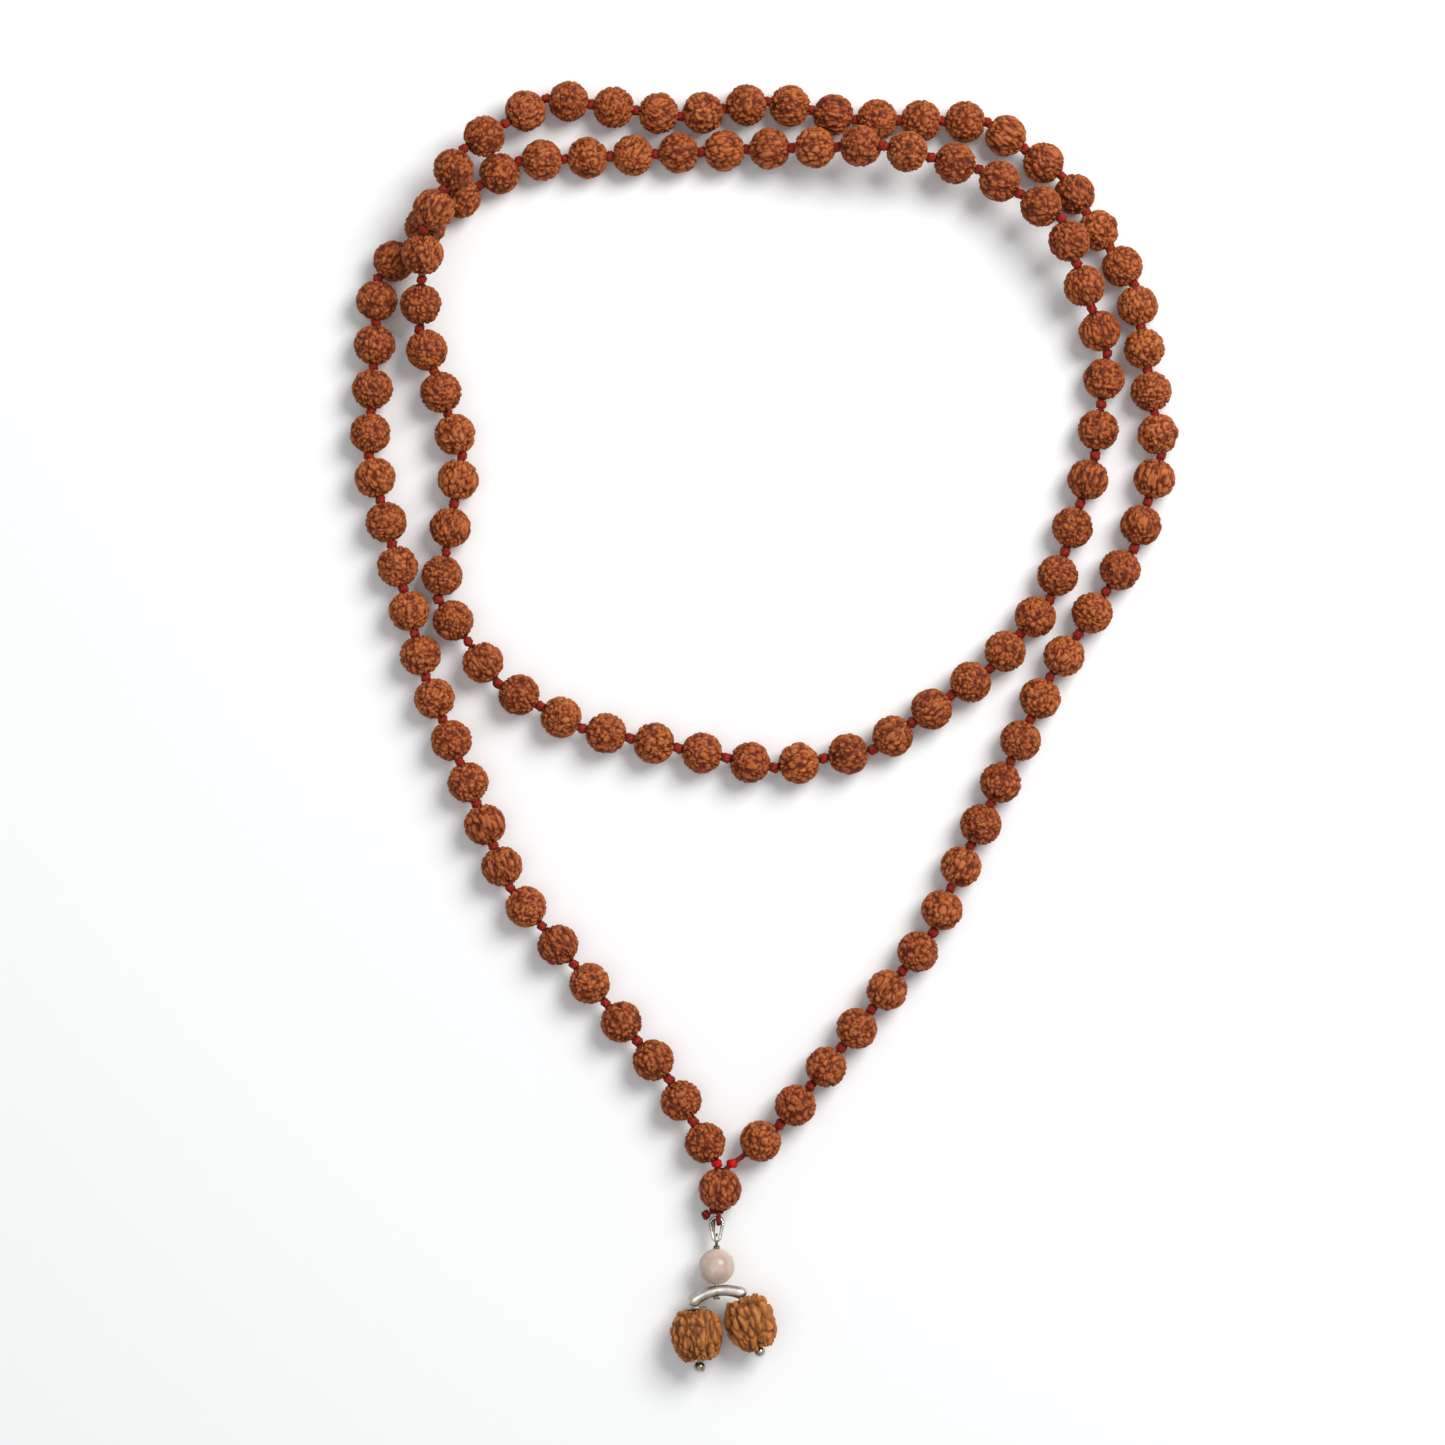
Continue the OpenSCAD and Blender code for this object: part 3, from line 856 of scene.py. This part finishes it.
class MALA_OT_thread(bpy.types.Operator):
    """Ties the thread that carries the pendant under the guru bead"""

    bl_idname = "mala.thread"
    bl_label = "Thread"

    def execute(self, context):
        settings = context.scene.mala_strand
        material = cord_material("dark red cord", shade(settings.cord_colour, 0.8))
        shape = bmesh.new()
        self.ring(shape)
        self.winding(shape)
        knot, knot_direction = Vector((-9.4, -81.5, 3.6)) * MM, Vector((1, 0.4, 0.2)).normalized()
        tie_knot(shape, turned_to(knot, knot_direction, 0.5), 1.75 * MM)
        show("pendant_thread_tied", shape, "tail_lower", [material], ["pendant_thread"])
        return {"FINISHED"}

    def ring(self, shape):
        """The ring of two plies, twisted on each other, that the bail hangs on."""
        middle = PIVOT + Vector((0.35, 0, 0)) * MM
        radius, ply_reach, ply_diameter, twists, steps = 1, 0.15, 0.52 * MM, 9, 96
        for ply in range(2):
            path = []
            for k in range(steps):
                turn = 2 * math.pi * k / steps
                twist = twists * turn + math.pi * ply
                reach = radius + ply_reach * math.cos(twist)
                path.append(middle + MM * Vector((
                    ply_reach * math.sin(twist), reach * math.cos(turn), reach * math.sin(turn))))
            add_tube(shape, path, ply_diameter, closed=True)

    def winding(self, shape):
        """The turns of thread side by side from the ring to the knot."""
        start, end = Vector((-6.4, -80.72, 3.6)) * MM, Vector((-8.8, -80.87, 3.6)) * MM
        turns, radius, thread_diameter, lean, steps = 5, 0.4, 0.5 * MM, 0.15, 20
        for turn in range(turns):
            centre = start.lerp(end, (turn + 0.5) / turns)
            slant = (end - start).normalized().lerp(Y_AXIS, lean)
            loop = [
                turned_to(centre, slant) @ (MM * radius * Vector((math.cos(a), math.sin(a), 0)))
                for a in (2 * math.pi * k / steps for k in range(steps))
            ]
            add_tube(shape, loop, thread_diameter, closed=True)


def pendant_point(x, y, z=0.0):
    """A point of the pendant's own frame, given in millimetres from its pivot."""
    return PENDANT_FRAME @ (Vector((x, y, z)) * MM)


class MALA_OT_crescent(bpy.types.Operator):
    """Casts the crescent with its two rings, and wraps wire round the pin's neck"""

    bl_idname = "mala.crescent"
    bl_label = "Crescent"

    def execute(self, context):
        settings = context.scene.mala_pendant
        satin = silver_material(
            "cast silver", settings.silver_colour, SATIN_TARNISH, 0.3, 0.48, SATIN_SCALE)
        shape = bmesh.new()
        self.cast(shape)
        for end in (-1, 1):
            self.hang_ring(shape, end)
        node = "crescent_hanger"
        show("silver_crescent", shape, node, [satin], [node])
        shape = bmesh.new()
        self.wrap_neck(shape)
        bright = bpy.data.materials["bright silver"]
        show("wire_wrap", shape, "quartz_pin", [bright])
        return {"FINISHED"}

    def on_arc(self, degrees):
        """A point of the crescent's middle line, in millimetres in the pendant's own frame."""
        lean = math.radians(CRESCENT_LEAN)
        middle = (CRESCENT_RADIUS * math.sin(lean), CRESCENT_TOP - CRESCENT_RADIUS * math.cos(lean))
        turn = math.radians(degrees)
        return (
            middle[0] + CRESCENT_RADIUS * math.cos(turn),
            middle[1] + CRESCENT_RADIUS * math.sin(turn),
        )

    def cast(self, shape):
        """The crescent itself: a round bar, thinner in the middle, with ball ends."""
        steps, slim, swell, swell_reach, tip = 60, 0.95, 0.13, 0.4, 1e-4
        ball = math.degrees(CRESCENT_DIAMETER / 2 / CRESCENT_RADIUS)
        whole = CRESCENT_SPAN + 2 * ball
        path, shares = [], []
        for k in range(steps + 1):
            share = (1 - math.cos(math.pi * k / steps)) / 2
            off_middle = abs(share - 0.5)
            past_end = max(0.0, (off_middle * whole - CRESCENT_SPAN / 2) / ball)
            thickness = slim + swell * min(1.0, off_middle / swell_reach) ** 2
            shares.append(thickness * math.sqrt(max(tip, 1 - past_end ** 2)))
            degrees = CRESCENT_LEAN + 90 - CRESCENT_SPAN / 2 - ball + whole * share
            path.append(pendant_point(*self.on_arc(degrees)))
        add_tube(shape, path, CRESCENT_DIAMETER * MM, shares=shares)

    def hang_ring(self, shape, end):
        """The wire ring under one end of the crescent, which a head pin hangs in."""
        radius, wire, steps = 0.75, 0.38, 32
        bar_radius, solder = 0.9, 0.12
        drop = bar_radius + solder + wire / 2
        degrees = CRESCENT_LEAN + 90 + end * CRESCENT_SPAN / 2
        turn = math.radians(degrees)
        along = Vector((math.sin(turn), -math.cos(turn), 0)) * end
        hook = Vector((*self.on_arc(degrees), -drop))
        ring = []
        for k in range(steps):
            a = 2 * math.pi * k / steps
            spot = hook + along * radius * (1 - math.cos(a)) + Vector((0, 0, radius * math.sin(a)))
            ring.append(pendant_point(*spot))
        add_tube(shape, ring, wire * MM, closed=True)

    def wrap_neck(self, shape):
        """Three turns of wire round the neck of the quartz bead's pin."""
        radius, wire, top, length, steps_per_turn, steps = 0.42, 0.26, -4.72, 0.36, 24, 72
        coil = []
        for k in range(steps + 1):
            a = 2 * math.pi * k / steps_per_turn
            height = top - length * k / steps
            coil.append(pendant_point(radius * math.cos(a), height, radius * math.sin(a)))
        add_tube(shape, coil, wire * MM)


class MALA_OT_metal(bpy.types.Operator):
    """Gives the bail, pins, caps and cups their silver, and the quartz bead its rose quartz"""

    bl_idname = "mala.metal"
    bl_label = "Metal"

    def execute(self, context):
        settings = context.scene.mala_pendant
        silver, tarnish = settings.silver_colour, settings.tarnish_colour
        bright = silver_material("bright silver", silver, tarnish, 0.16, 0.34, POLISH_SCALE)
        satin = silver_material("satin silver", silver, SATIN_TARNISH, 0.34, 0.5, SATIN_SCALE)
        for node in ("bail", "quartz_pin", "left_head_pin", "right_head_pin"):
            self.coat(node, bright)
        for node in ("left_top_cap", "right_top_cap", "left_bottom_cup", "right_bottom_cup"):
            self.coat(node, satin)
        self.coat("quartz_bead", quartz_material("rose quartz", settings.quartz_colour))
        return {"FINISHED"}

    def coat(self, node, material):
        """Gives a CAD node one material."""
        mesh = frame["nodes"][node].data
        mesh.materials.clear()
        mesh.materials.append(material)


class MALA_OT_stage(bpy.types.Operator):
    """Sets the table, the lights and the surroundings"""

    bl_idname = "mala.stage"
    bl_label = "Stage"

    def execute(self, context):
        settings = context.scene.mala_stage
        table_reach = 3
        shape = bmesh.new()
        bmesh.ops.create_grid(shape, x_segments=1, y_segments=1, size=table_reach)
        mesh = to_mesh(shape, "table")
        material, _, _, shader = new_material("pale table", 0.7)
        shader.inputs["Base Color"].default_value = (*settings.floor_colour, 1)
        mesh.materials.append(material)
        table = bpy.data.objects.new("table", mesh)
        context.scene.collection.objects.link(table)
        self.light("key", (0.42, 0.42, 0.7), 0.5, settings.key_power)
        self.light("fill", (-0.3, -0.1, 1.1), 1.0, settings.fill_power)
        world = bpy.data.worlds.new("surroundings")
        world.use_nodes = True
        sky = world.node_tree.nodes["Background"]
        sky.inputs["Color"].default_value = (*SKY_COLOUR, 1)
        sky.inputs["Strength"].default_value = SKY_STRENGTH
        context.scene.world = world
        context.scene.view_settings.view_transform = "Standard"
        return {"FINISHED"}

    def light(self, name, place, size, power):
        """Adds a square light that faces the middle of the table."""
        data = bpy.data.lights.new(name, "AREA")
        data.size = size
        data.energy = power
        lamp = bpy.data.objects.new(name, data)
        lamp.location = place
        lamp.rotation_euler = (-Vector(place)).to_track_quat("-Z", "Y").to_euler()
        bpy.context.scene.collection.objects.link(lamp)


class MALA_PT_panel(bpy.types.Panel):
    """Lists the operators and their settings"""

    bl_idname = "MALA_PT_panel"
    bl_label = "Knotted mala"
    bl_space_type = "VIEW_3D"
    bl_region_type = "UI"
    bl_category = "Mala"

    def draw(self, context):
        for operator in OPERATORS:
            self.layout.operator(operator.bl_idname)
        scene = context.scene
        for settings in (scene.mala_strand, scene.mala_pendant, scene.mala_stage):
            box = self.layout.box()
            for name in settings.__annotations__:
                box.prop(settings, name)


OPERATORS = (
    MALA_OT_camera, MALA_OT_cords, MALA_OT_knots, MALA_OT_strand_beads, MALA_OT_guru_bead,
    MALA_OT_pendant_seeds, MALA_OT_thread, MALA_OT_metal, MALA_OT_crescent, MALA_OT_stage,
)
CLASSES = (StrandSettings, PendantSettings, StageSettings, *OPERATORS, MALA_PT_panel)


def register():
    for cls in CLASSES:
        bpy.utils.register_class(cls)
    bpy.types.Scene.mala_strand = bpy.props.PointerProperty(type=StrandSettings)
    bpy.types.Scene.mala_pendant = bpy.props.PointerProperty(type=PendantSettings)
    bpy.types.Scene.mala_stage = bpy.props.PointerProperty(type=StageSettings)


def unregister():
    del bpy.types.Scene.mala_strand
    del bpy.types.Scene.mala_pendant
    del bpy.types.Scene.mala_stage
    for cls in reversed(CLASSES):
        bpy.utils.unregister_class(cls)


def main():
    register()
    bpy.ops.mala.camera()
    bpy.ops.mala.cords()
    bpy.ops.mala.knots()
    bpy.ops.mala.strand_beads()
    bpy.ops.mala.guru_bead()
    bpy.ops.mala.pendant_seeds()
    bpy.ops.mala.thread()
    bpy.ops.mala.metal()
    bpy.ops.mala.crescent()
    bpy.ops.mala.stage()


if __name__ == "__main__":
    main()
